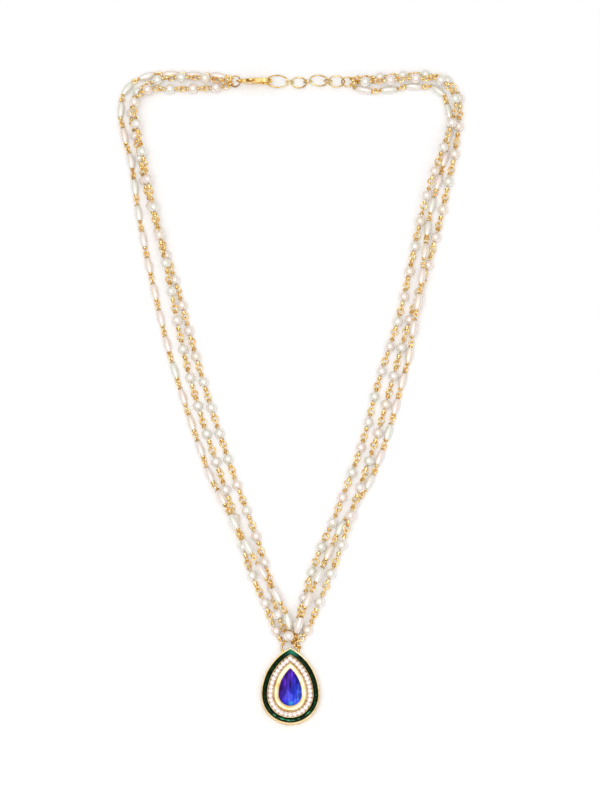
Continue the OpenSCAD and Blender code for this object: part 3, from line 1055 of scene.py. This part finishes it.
@dataclass
class HalfStrand:
    """Half of one strand, from the clasp row to the bail: beads, and links of wire with wound
    ends, whose eyes hook into each other and at both ends into a ring."""

    kind: str
    side: str
    shapes: StrandShapes
    top: WireRing
    bail: WireRing
    key: int
    ring_wire_r: float = 0.3
    ring_slack: float = 0.02
    core_in_bead: float = 0.3
    core_over: float = 0.35
    loose_deg: float = 50.0
    bead_tray: Tray = field(default_factory=Tray)
    wire_tray: Tray = field(default_factory=Tray)

    def places(self, node: str) -> list[np.ndarray]:
        """Put the beads' middles in order, from the clasp row to the bail.

        Args:
            node: The beads' CAD node.

        Returns:
            One place for each bead, in millimetres.
        """
        left = list(node_solids(node))
        here = self.top.centre
        ordered = []
        while left:
            k = int(np.argmin([np.linalg.norm(p - here) for p in left]))
            here = left.pop(k)
            ordered.append(here)
        return ordered

    def wound_end(self, mouth: np.ndarray, eye_at: np.ndarray) -> None:
        """Lay the wraps and the core from a bead's mouth to the edge of an eye.

        Args:
            mouth: Place of the mouth.
            eye_at: Middle of the eye.
        """
        way = unit(eye_at - mouth)
        run = np.linalg.norm(eye_at - mouth) - self.shapes.eye_r
        roll = 360 * chance(self.key, len(self.wire_tray.sizes))
        self.wire_tray.lay(self.shapes.coil, heading(way, roll), mouth, (1, 1, run))
        start = mouth - self.core_in_bead * way
        self.wire_tray.lay(self.shapes.core, heading(way), start, (1, 1, run + self.core_over))

    def linked_pair(self, near: np.ndarray, far: np.ndarray, number: int) -> None:
        """Lay the links between two beads.

        Args:
            near: Mouth of the first bead.
            far: Mouth of the second bead.
            number: Number of the pair along the strand.
        """
        way = unit(far - near)
        middle = (near + far) / 2
        step = self.shapes.eye_step / 2 * way
        tilt = self.loose_deg * (chance(self.key, number, TILT_KEY) - 0.5)
        first_flat = chance(self.key, number, FLAT_KEY) < 0.5
        for eye_at, mouth, flat in (
            (middle - step, near, first_flat),
            (middle + step, far, not first_flat),
        ):
            roll = tilt if flat else tilt + 90
            self.wire_tray.lay(self.shapes.eye, heading(way, roll), eye_at)
            self.wound_end(mouth, eye_at)

    def hooked_end(self, mouth: np.ndarray, ring: WireRing, hook: np.ndarray) -> None:
        """Lay the eyes from the last bead to a ring, the last of them round the ring's wire.

        Args:
            mouth: Mouth of the strand's end bead.
            ring: The ring that it hangs on.
            hook: Place on the ring's wire.
        """
        shapes = self.shapes
        back = unit(mouth - hook)
        start = shapes.eye_r - shapes.wire_r - self.ring_wire_r - self.ring_slack
        spare = float(np.linalg.norm(mouth - hook)) - start - shapes.eye_r - shapes.wraps
        links = max(1, 1 + round(spare / shapes.eye_step))
        # The eye on the ring stands across the ring's wire, and each one after it a quarter turn on
        across = ring.along(hook)
        side = unit(np.cross(UP, back))
        over = np.cross(back, side)
        first_roll = math.degrees(math.atan2(-float(across @ side), float(across @ over)))
        for k in range(links):
            eye_at = hook + (start + k * shapes.eye_step) * back
            self.wire_tray.lay(shapes.eye, heading(back, first_roll + 90 * (k % 2)), eye_at)
        self.wound_end(mouth, eye_at)

    def build(self) -> None:
        """Lay the whole half strand and hand its two pieces over."""
        beads_node, wire_node = (f"{self.kind}_{what}_{self.side}" for what in ("pearls", "wire"))
        places = self.places(beads_node)
        wire, _ = node_corners(wire_node)
        hooks = self.top.hook(wire), self.bail.hook(wire)
        stops = [hooks[0], *places, hooks[1]]
        ways = [unit(unit(b - a) + unit(c - b)) for a, b, c in zip(stops, stops[1:], stops[2:])]
        half = self.shapes.bead_half
        for k, (place, way) in enumerate(zip(places, ways)):
            turned = heading(way, 360 * chance(self.key, k))
            tone = chance(self.key, k, TONE_KEY)
            self.bead_tray.lay(self.shapes.bead, turned, place, tone=tone)
            if k:
                self.linked_pair(places[k - 1] + half * ways[k - 1], place - half * way, k)
        self.hooked_end(places[0] - half * ways[0], self.top, hooks[0])
        self.hooked_end(places[-1] + half * ways[-1], self.bail, hooks[1])
        name = f"{self.kind}_strand_{self.side}"
        beads = round_off(self.bead_tray.pour(f"{name}_beads"), angle=40)
        hand_over(beads, PEARL, Slot.PEARL, beads_node)
        links = round_off(self.wire_tray.pour(f"{name}_links"), angle=75)
        hand_over(links, WIRE_GOLD, Slot.GOLD, wire_node)


@dataclass
class Strands:
    """The three strands, each in two halves."""

    bench: BeadBench = field(default_factory=BeadBench)
    ring_wire: float = 0.7
    jump_wire: float = 0.8
    pearl_half: float = 1.88
    eye_r: float = 1.16
    small_eye_r: float = 0.84

    def build(self) -> None:
        """Model the shapes once and lay the six half strands from them."""
        bench = self.bench
        pearls = StrandShapes(
            bead=bench.pearl(),
            eye=bench.eye(self.eye_r),
            coil=bench.coil(turns=2, length=1.7, taper=0.42),
            core=bench.core(),
            bead_half=self.pearl_half,
            eye_r=self.eye_r,
            wire_r=bench.wire_r,
            wraps=1.7,
        )
        rice = StrandShapes(
            bead=bench.rice_pearl(),
            eye=bench.eye(self.small_eye_r),
            coil=bench.coil(turns=1, length=0.95, taper=0.3),
            core=bench.core(),
            bead_half=bench.rice_half,
            eye_r=self.small_eye_r,
            wire_r=bench.wire_r,
            wraps=1.0,
        )
        tops = {
            "left": WireRing.fit("clasp_ring", self.ring_wire),
            "right": WireRing.fit("end_ring", self.ring_wire),
        }
        bail = WireRing.fit("jump_ring", self.jump_wire)
        kinds = {"long": pearls, "short": pearls, "rice": rice}
        halves = [(kind, side) for kind in kinds for side in tops]
        for key, (kind, side) in enumerate(halves, start=1):
            HalfStrand(kind, side, kinds[kind], tops[side], bail, key).build()


# Clasp and chain


@dataclass
class ClaspRow:
    """The lobster clasp with its lever, and the rings of the extension chain."""

    chain_wire: float = 0.7
    thin_wire_r: float = 0.27
    joiner_wire: float = 0.5
    jump_wire: float = 0.8
    jump_thin_r: float = 0.36
    slit_deg: float = 3.0
    weld: float = 0.0005
    tumbling: int = 30
    lean_deg: float = 10.0
    clasp_yz: tuple[float, float] = (127.0, 3.27)
    slim_at: tuple[float, ...] = (-22.0, -18.5, -14.5, -7.4)
    slim_to: tuple[float, ...] = (0.45, 0.62, 0.8, 0.62)

    def ring(self, node: str, cad_wire: float, wire_r: float, slit_at: float) -> None:
        """Bend a ring from wire, with the fine slit where its ends meet.

        Args:
            node: The CAD node that it replaces.
            cad_wire: Diameter of the wire in the node.
            wire_r: Radius of the wire as it shows.
            slit_at: Place of the slit round the ring, in degrees.
        """
        ring = WireRing.fit(node, cad_wire)
        # The wire's outside stays on the CAD ring's outside where it is thinner
        long_r = ring.half_length + cad_wire / 2 - wire_r
        short_r = ring.half_width + cad_wire / 2 - wire_r
        start = math.radians(slit_at + self.slit_deg / 2)
        obj = primitive(
            bpy.ops.mesh.primitive_circle_add,
            vertices=12,
            radius=wire_r,
            fill_type="NGON",
            location=(short_r * math.cos(start), short_r * math.sin(start), 0),
            rotation=(math.pi / 2, 0, start),
        )
        pick_all(obj)
        bent = math.radians(360 - self.slit_deg)
        bpy.ops.mesh.spin(steps=64, angle=bent, center=(0, 0, 0), axis=(0, 0, 1))
        done(obj, f"{node}_wire")
        points = mesh_points(obj.data)
        points[:, 0] += (long_r - short_r) * points[:, 0] / np.hypot(points[:, 0], points[:, 1])
        points = points @ ring.turn().T + ring.centre
        obj.data.vertices.foreach_set("co", points.ravel())
        if np.linalg.det(ring.turn()) < 0:
            obj.data.flip_normals()
        hand_over(round_off(in_metres(obj), angle=50), CHAIN_GOLD, Slot.GOLD, node)

    def cast(self, node: str, name: str, voxel: float, body: Body) -> None:
        """Soften a copy of a CAD node as a casting is, after tumbling.

        Args:
            node: The CAD node.
            name: Name of the new piece.
            voxel: Grid of the remesh in millimetres.
            body: The body that it moves with.
        """
        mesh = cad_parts[node].data.copy()
        obj = bpy.data.objects.new(name, mesh)
        bpy.context.scene.collection.objects.link(obj)
        level = Matrix.Rotation(math.radians(-90 - self.lean_deg), 4, "X") @ Matrix.Scale(1 / MM, 4)
        mesh.transform(level)
        pick_all(obj)
        bpy.ops.mesh.remove_doubles(threshold=self.weld)
        bpy.ops.mesh.normals_make_consistent(inside=False)
        bpy.ops.object.mode_set(mode="OBJECT")
        grid = obj.modifiers.new("grid", "REMESH")
        grid.mode = "VOXEL"
        grid.voxel_size = voxel
        tumbled = obj.modifiers.new("tumbled", "SMOOTH")
        tumbled.factor = 0.5
        tumbled.iterations = self.tumbling
        apply_modifiers(obj)
        # Thinner towards its ends, about the middle of the clasp's thickness
        middle = (level @ Matrix.Scale(MM, 4)) @ Vector((0, *self.clasp_yz))
        for vert in obj.data.vertices:
            slim = float(np.interp(vert.co.x, self.slim_at, self.slim_to))
            vert.co.z = middle.z + (vert.co.z - middle.z) * slim
        obj.data.transform(level.inverted() @ Matrix.Scale(1 / MM, 4))
        hand_over(round_off(in_metres(obj), angle=80), CAST_GOLD, Slot.GOLD, node, body=body)

    def build(self) -> None:
        """Make the clasp, its lever and every ring of the row, and the pendant's jump ring."""
        self.cast("clasp_body", "lobster_clasp", voxel=0.1, body=Body.NECKLACE)
        self.cast("clasp_lever", "clasp_thumb_lever", voxel=0.08, body=Body.LEVER)
        for node, slit_at in (
            ("clasp_ring", 200),
            ("end_ring", 75),
            ("chain_ring_1", 100),
            ("chain_ring_2", 250),
            ("chain_ring_3", 80),
            ("chain_ring_4", 290),
        ):
            self.ring(node, self.chain_wire, self.thin_wire_r, slit_at)
        for k in (1, 2, 3):
            self.ring(f"chain_joiner_{k}", self.joiner_wire, self.joiner_wire / 2, slit_at=120 * k)
        self.ring("jump_ring", self.jump_wire, self.jump_thin_r, slit_at=190)


# Pendant


@dataclass(frozen=True)
class Pear:
    """The outline that every row of the pendant follows: a half circle below, and two arcs above
    that meet in a tip. A smaller radius gives the same outline moved evenly inwards."""

    flank: float = 9.1875

    def points(self, radius: float, count: int, offset: float = 0.0) -> np.ndarray:
        """Spread points evenly along the outline, from its bottom, leftwards.

        Args:
            radius: Half of its width.
            count: How many points.
            offset: Start, in steps.

        Returns:
            Rows of x, y and the direction in which inwards lies, in radians.
        """
        wide = radius + self.flank
        bottom = math.pi * radius / 2
        total = 2 * (bottom + wide * math.acos(self.flank / wide))
        rows = []
        for k in range(count):
            run = (k + offset) / count * total
            mirrored = run > total / 2 + 1e-9
            run = total - run if mirrored else run
            if run < bottom:
                angle = run / radius
                x, y = -radius * math.sin(angle), -radius * math.cos(angle)
                turn = math.pi - angle
            else:
                angle = (run - bottom) / wide
                x, y = self.flank - wide * math.cos(angle), wide * math.sin(angle)
                turn = math.pi / 2 - angle
            rows.append((-x, y, -turn) if mirrored else (x, y, turn))
        return np.array(rows)


@dataclass
class Pendant:
    """The pear-shaped pendant: a gold setting with an enamel band, a row of small cut stones, and
    the main stone in its rounded bezel."""

    outer_r: float = 11.2
    enamel_out_r: float = 10.62
    enamel_in_r: float = 8.85
    channel_out_r: float = 8.55
    bezel_r: float = 6.5
    stone_r: float = 4.72
    rim_z: float = 4.0
    floor_z: float = 2.3
    bed_z: float = 2.9
    halo_r: float = 7.525
    halo_count: int = 34
    halo_along: float = 1.78
    halo_across: float = 1.98
    girdle_z: float = 3.5
    cushion: float = 5.0
    grain_r: float = 0.13
    grain_up: float = 0.12
    grain_tall: float = 1.2
    grain_in: float = 0.16
    grain_out: float = 0.17
    loop_r: float = 0.82
    loop_wire_r: float = 0.3
    loop_yz: tuple[float, float] = (15.2, 1.15)
    count: int = 120
    pear: Pear = field(default_factory=Pear)

    def onto(self, obj: bpy.types.Object, last: np.ndarray, row: tuple[float, float]) -> np.ndarray:
        """Move the selected loop of points onto a pear.

        Args:
            obj: The object in edit mode.
            last: Where the loop's points are, in their order.
            row: Radius and height of the pear.

        Returns:
            Where they are now.
        """
        flat = self.pear.points(row[0], self.count)
        target = np.column_stack([flat[:, :2], np.full(self.count, row[1])])
        for vert in bmesh.from_edit_mesh(obj.data).verts:
            if vert.select:
                k = int(np.argmin(((last - np.array(vert.co)) ** 2).sum(axis=1)))
                vert.co = target[k]
        bmesh.update_edit_mesh(obj.data)
        return target

    def lofted(
        self, name: str, rows: Sequence[tuple[float, float]], ring: bool = True
    ) -> bpy.types.Object:
        """Draw a pear outline up through rows of radius and height.

        Args:
            name: The piece's name.
            rows: Radius and height of each row, in order.
            ring: Whether the last row joins the first; otherwise both ends are closed flat.

        Returns:
            The piece, in metres and in place.
        """
        obj = primitive(bpy.ops.mesh.primitive_circle_add, vertices=self.count, radius=1.0)
        start = mesh_points(obj.data)
        angle = np.arctan2(start[:, 0], start[:, 1])
        order = np.argsort(np.mod(angle + math.pi, 2 * math.pi))
        pick_all(obj)
        last = self.onto(obj, start[order], rows[0])
        for row in rows[1:]:
            bpy.ops.mesh.extrude_region_move()
            last = self.onto(obj, last, row)
        if ring:
            bpy.ops.mesh.select_all(action="DESELECT")
            bpy.ops.mesh.select_mode(type="EDGE")
            bpy.ops.mesh.select_non_manifold(
                extend=False, use_wire=False, use_boundary=True, use_multi_face=False,
                use_non_contiguous=False, use_verts=False,
            )
            bpy.ops.mesh.bridge_edge_loops()
        else:
            bpy.ops.mesh.edge_face_add()
            pick_all(obj)
            bpy.ops.mesh.fill_holes(sides=0)
        done(obj, name)
        obj.data.transform(Matrix.Translation((0, PENDANT_Y, 0)))
        return round_off(in_metres(obj), angle=40)

    def setting(self) -> None:
        """Make the plate with its rim, the ridge between enamel and stones, and the stones' bed."""
        side, wall, ridge = self.outer_r, self.enamel_out_r, self.enamel_in_r
        channel, bezel = self.channel_out_r, self.bezel_r
        top, floor, bed = self.rim_z, self.floor_z, self.bed_z
        rows = [
            # The back's rounded edge, and the side with a fine groove round it
            (side - 1.2, 0.0), (side - 0.35, 0.02), (side - 0.1, 0.12), (side, 0.4),
            (side, 1.2), (side - 0.05, 1.35), (side - 0.05, 1.5), (side, 1.65),
            # The rounded rim, and down its inner wall to the enamel's floor
            (side, top - 0.4), (side - 0.05, top - 0.15), (side - 0.16, top - 0.02),
            (side - 0.27, top), (side - 0.37, top - 0.04), (wall + 0.02, top - 0.14),
            (wall, top - 0.3), (wall, floor),
            # The ridge between the enamel and the stones
            (ridge, floor), (ridge, top - 0.22), (ridge - 0.08, top - 0.06),
            (ridge - 0.2, top - 0.02), (channel, top - 0.12), (channel - 0.02, top - 0.4),
            # The stones' bed, and the well under the main stone
            (channel - 0.1, bed + 0.12), (channel - 0.4, bed), (bezel - 0.1, bed),
            (bezel - 0.3, 2.4), (bezel - 1.5, 2.2),
        ]
        plate = self.lofted("pendant_setting", rows, ring=False)
        hand_over(plate, PALE_GOLD, Slot.GOLD, "pendant_frame")

    def bezel(self) -> None:
        """Make the wide rounded bezel of the main stone."""
        side, seat, lip = self.bezel_r, self.stone_r + 0.05, self.stone_r - 0.3
        rows = [
            # Up the side and over the rounded top
            (side, 2.7), (side, 4.1), (side - 0.03, 4.5), (side - 0.1, 4.78), (side - 0.24, 4.97),
            (side - 0.45, 5.09), (side - 0.75, 5.17), (side - 1.05, 5.19), (side - 1.3, 5.18),
            (side - 1.5, 5.14),
            # The lip over the stone's edge, and down beside the stone
            (lip + 0.3, 5.08), (lip + 0.06, 5.03), (lip, 4.98), (lip + 0.04, 4.9), (seat, 4.78),
            (seat, 2.7),
        ]
        hand_over(self.lofted("main_stone_bezel", rows), PALE_GOLD, Slot.GOLD, "pendant_frame")

    def enamel(self) -> None:
        """Make the enamel band: the glass stands a little proud of its middle between the walls."""
        out, inner, top = self.enamel_out_r - 0.02, self.enamel_in_r + 0.02, self.rim_z - 0.16
        width = out - inner
        domed = ((0.12, 0.1), (0.3, 0.02), (0.5, 0.0), (0.7, 0.02), (0.88, 0.1))
        rows = [(out, 2.35), (out, top - 0.22)]
        rows += [(out - share * width, top - drop) for share, drop in domed]
        rows += [(inner, top - 0.22), (inner, 2.35)]
        hand_over(self.lofted("enamel_band", rows), ENAMEL, Slot.ENAMEL, "enamel_ring")

    def small_stone(self) -> Shape:
        """Model a small cushion-cut stone: table, crown, girdle and pavilion facets.

        Returns:
            The stone, with its table upwards.
        """
        add = bpy.ops.mesh.primitive_circle_add
        obj = primitive(add, vertices=16, radius=1.0, location=(0, 0, 0.05))
        editing(obj)
        for count, radius, z, turn in (
            (16, 1.0, -0.05, 0.0),
            (8, 0.8, 0.28, math.pi / 8),
            (8, 0.55, 0.42, 0.0),
            (8, 0.45, -0.42, math.pi / 8),
        ):
            add(vertices=count, radius=radius, location=(0, 0, z), rotation=(0, 0, turn))
        self.hull(obj, flat_deg=2.0)
        # Cushion outline: rounder than a square, squarer than a circle
        power = self.cushion
        for vert in editing(obj).verts:
            out = math.hypot(vert.co.x, vert.co.y)
            if out > 0.01:
                swell = (abs(vert.co.x / out) ** power + abs(vert.co.y / out) ** power) ** (-1 / power)
                vert.co.x *= swell
                vert.co.y *= swell
        bmesh.update_edit_mesh(obj.data)
        pick_all(obj)
        bpy.ops.transform.resize(value=(self.halo_along / 2, self.halo_across / 2, 1))
        return Shape.take(done(obj, "small_stone"))

    def hull(self, obj: bpy.types.Object, flat_deg: float) -> None:
        """Span a stone's facets over all its points.

        Args:
            obj: The object in edit mode.
            flat_deg: Faces that meet flatter than this become one facet.
        """
        pick_all(obj)
        bpy.ops.mesh.convex_hull()
        pick_all(obj)
        bpy.ops.mesh.dissolve_limited(angle_limit=math.radians(flat_deg))

    def grain(self) -> Shape:
        """Model a small raised grain of gold that holds two stones.

        Returns:
            The grain.
        """
        add = bpy.ops.mesh.primitive_uv_sphere_add
        obj = primitive(add, segments=8, ring_count=6, radius=self.grain_r)
        return Shape.take(done(obj, "grain"))

    def halo(self) -> None:
        """Set the small stones round the channel, with a pair of grains between neighbours."""
        stone, grain = self.small_stone(), self.grain()
        stones, grains = Tray(), Tray()
        here = np.array([0, PENDANT_Y, self.girdle_z])
        for x, y, turn in self.pear.points(self.halo_r, self.halo_count):
            cos, sin = math.cos(turn), math.sin(turn)
            axes = np.array([[cos, -sin, 0], [sin, cos, 0], [0, 0, 1.0]])
            stones.lay(stone, axes, here + (x, y, 0), tone=None)
        for radius in (self.channel_out_r - self.grain_in, self.bezel_r + self.grain_out):
            for x, y, _ in self.pear.points(radius, self.halo_count, 0.5):
                grains.lay(grain, np.eye(3), here + (x, y, self.grain_up), (1, 1, self.grain_tall))
        hand_over(stones.pour("halo_cut_stones"), CRYSTAL, Slot.CLEAR, "halo_stones")
        gold = round_off(grains.pour("halo_grains"), angle=80)
        hand_over(gold, PALE_GOLD, Slot.GOLD, "pendant_frame")

    def main_stone(self) -> None:
        """Cut the main stone: a pear crown with a table, over a shallow pavilion."""
        obj = primitive(bpy.ops.mesh.primitive_circle_add, vertices=48, radius=1.0)
        pick_all(obj)
        bpy.ops.mesh.delete(type="VERT")
        mesh = bmesh.from_edit_mesh(obj.data)
        for count, smaller, z, offset in (
            (24, 0.0, 4.74, 0.0),
            (24, 0.0, 4.44, 0.0),
            (12, 0.95, 5.5, 0.5),
            (12, 2.1, 5.98, 0.0),
            (12, 2.4, 2.9, 0.5),
        ):
            for x, y, _ in self.pear.points(self.stone_r - smaller, count, offset):
                mesh.verts.new((x, y, z)).select_set(True)
        bmesh.update_edit_mesh(obj.data)
        self.hull(obj, flat_deg=1.5)
        name = "main_cut_stone"
        tray = Tray()
        tray.lay(Shape.take(done(obj, name)), np.eye(3), np.array([0, PENDANT_Y, 0]), tone=None)
        hand_over(tray.pour(name), SAPPHIRE_GLASS, Slot.BLUE, "main_stone")

    def bail_loop(self) -> None:
        """Solder the small upright loop under the tip, which the jump ring passes through."""
        obj = primitive(
            bpy.ops.mesh.primitive_torus_add,
            major_segments=32,
            minor_segments=12,
            major_radius=self.loop_r,
            minor_radius=self.loop_wire_r,
            location=(0, PENDANT_Y + self.loop_yz[0], self.loop_yz[1]),
            rotation=(0, math.pi / 2, 0),
        )
        loop = round_off(in_metres(done(obj, "pendant_loop")), angle=80)
        hand_over(loop, CAST_GOLD, Slot.GOLD, "pendant_frame")

    def build(self) -> None:
        """Make every piece of the pendant."""
        self.setting()
        self.bezel()
        self.enamel()
        self.halo()
        self.main_stone()
        self.bail_loop()


# Studio


@dataclass
class Studio:
    """The camera at the photograph's angle, the table and the lights."""

    target: tuple[float, float, float] = (3.7, -5.0, 2.0)
    distance: float = 1200.0
    elevation: float = 75.0
    lens: float = 138.46
    sensor: float = 36.0
    near: float = 0.01
    room: float = 1.12
    table_side: float = 3.0

    def camera(self) -> None:
        """Place the camera and set it."""
        low = math.radians(self.elevation)
        x, y, z = self.target
        spot = (x, y - self.distance * math.cos(low), z + self.distance * math.sin(low))
        bpy.ops.object.camera_add(
            location=[c * MM for c in spot], rotation=(math.pi / 2 - low, 0, 0)
        )
        camera = bpy.context.object
        camera.data.lens = self.lens
        camera.data.sensor_width = self.sensor
        camera.data.sensor_fit = "AUTO"
        camera.data.clip_start = self.near
        bpy.context.scene.camera = camera

    def world(self) -> None:
        """Light the room softly, with a dark band above its pale horizon for gold to reflect."""
        world = bpy.data.worlds.new("studio_room")
        world.use_nodes = True
        bpy.context.scene.world = world
        tree = world.node_tree
        tree.nodes.clear()
        way = add_node(tree, "TexCoord").outputs["Generated"]
        height = add_node(tree, "SeparateXYZ", links={0: way}).outputs["Z"]
        stops = (
            (0.0, "#E2DDD8"), (0.1, "#D6CFC8"), (0.18, "#54483E"), (0.32, "#766A5E"),
            (0.6, "#DCD8D3"), (1.0, "#FBFCFF"),
        )
        colour = add_node(tree, "ValToRGB", links={"Fac": height}, stops=stops)
        room = add_node(tree, "Background", {"Strength": self.room}, {"Color": colour})
        add_node(tree, "OutputWorld", links={"Surface": room})

    def lamp(
        self, name: str, at: tuple[float, float, float], size: float, watts: float, code: str
    ) -> None:
        """Hang a square soft box that faces the middle of the table.

        Args:
            name: Its name.
            at: Its place in metres.
            size: Its side in metres.
            watts: Its power.
            code: Its colour.
        """
        bpy.ops.object.light_add(type="AREA", location=at)
        lamp = bpy.context.object
        lamp.name = name
        lamp.data.shape = "SQUARE"
        lamp.data.size = size
        lamp.data.energy = watts
        lamp.data.color = linear(code)[:3]
        lamp.rotation_euler = Matrix(heading(np.array(at)).tolist()).to_euler()

    def table(self) -> None:
        """Lay the white card that everything lies on."""
        card = primitive(bpy.ops.mesh.primitive_plane_add, size=self.table_side)
        card.name = "table_card"
        card.data.materials.append(CARD.material())

    def build(self) -> None:
        """Set the studio up."""
        self.camera()
        self.world()
        self.lamp("key_soft_box", (-0.15, -0.28, 1.25), size=0.7, watts=5.6, code="#F4F8FF")
        self.lamp("front_soft_box", (0.5, -0.75, 0.9), size=0.5, watts=1.0, code="#F6F9FF")
        self.table()
        bpy.context.scene.view_settings.view_transform = "Standard"


def main() -> None:
    """Build the necklace in its studio."""
    logging.basicConfig(level=logging.INFO, format="%(name)s %(message)s")
    Studio().build()
    Strands().build()
    ClaspRow().build()
    Pendant().build()


if __name__ == "__main__":
    main()
